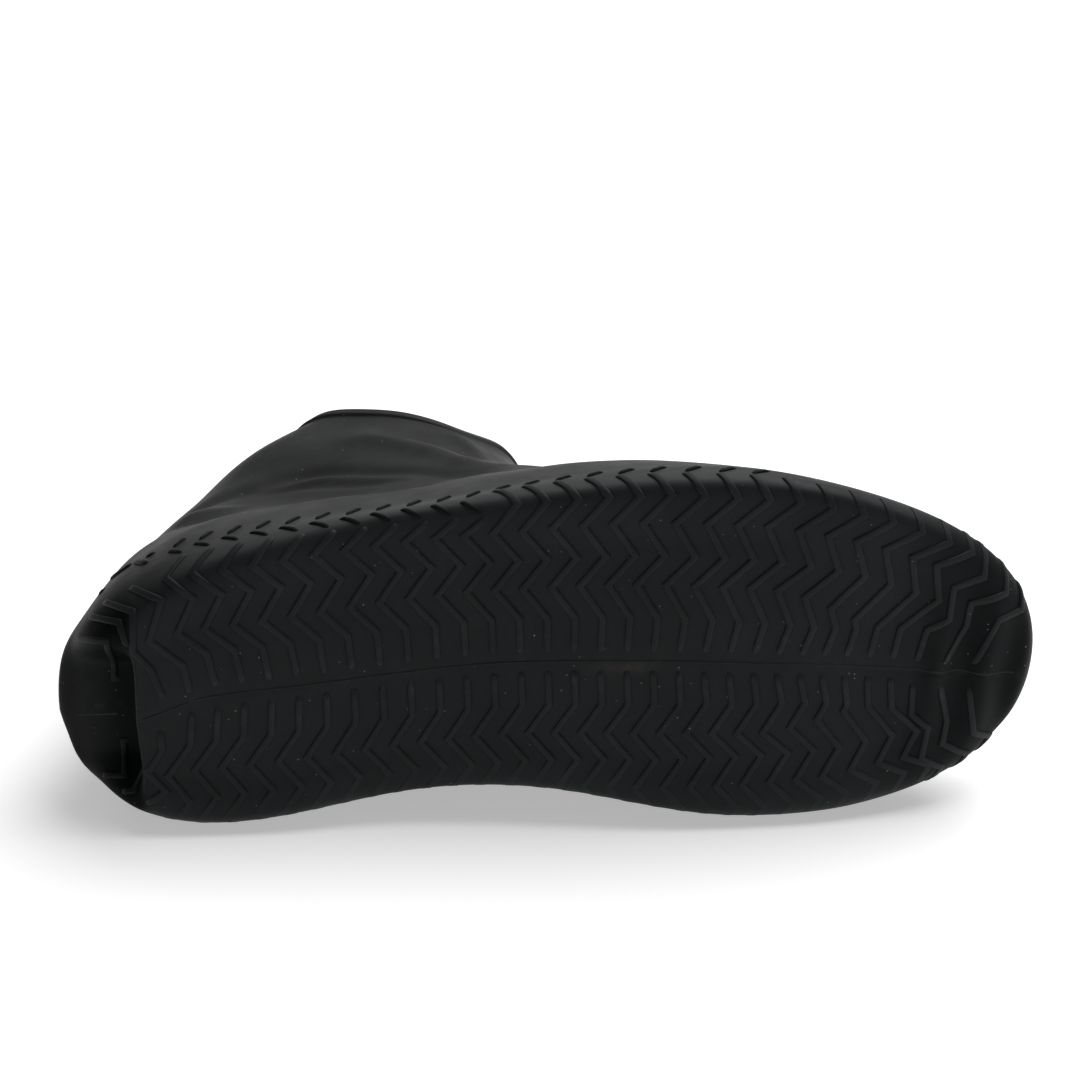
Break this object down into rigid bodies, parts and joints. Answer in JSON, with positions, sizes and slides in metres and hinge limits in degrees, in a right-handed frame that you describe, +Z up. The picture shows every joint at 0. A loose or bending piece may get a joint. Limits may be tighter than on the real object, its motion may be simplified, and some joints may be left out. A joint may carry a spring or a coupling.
{
  "type": "silicone shoe cover",
  "caption": "Slack moulded rubber overshoe lying on its side, with a hollow foot, an open collar and a zigzag ribbed sole, pulled over a shoe to keep it dry.",
  "frame": {"origin": "on the floor under the middle of the bounding box of the cover as it lies on its side", "axes": "+X from heel to toe, +Y from the sole towards the collar, +Z up from the floor, across the shoe"},
  "size_m": [0.2884, 0.1562, 0.1086],
  "materials": {
    "black_silicone": "satin matte, moulded"
  },
  "bodies": {
    "root": {"moulded_cover": "black_silicone"}
  },
  "joints": []
}
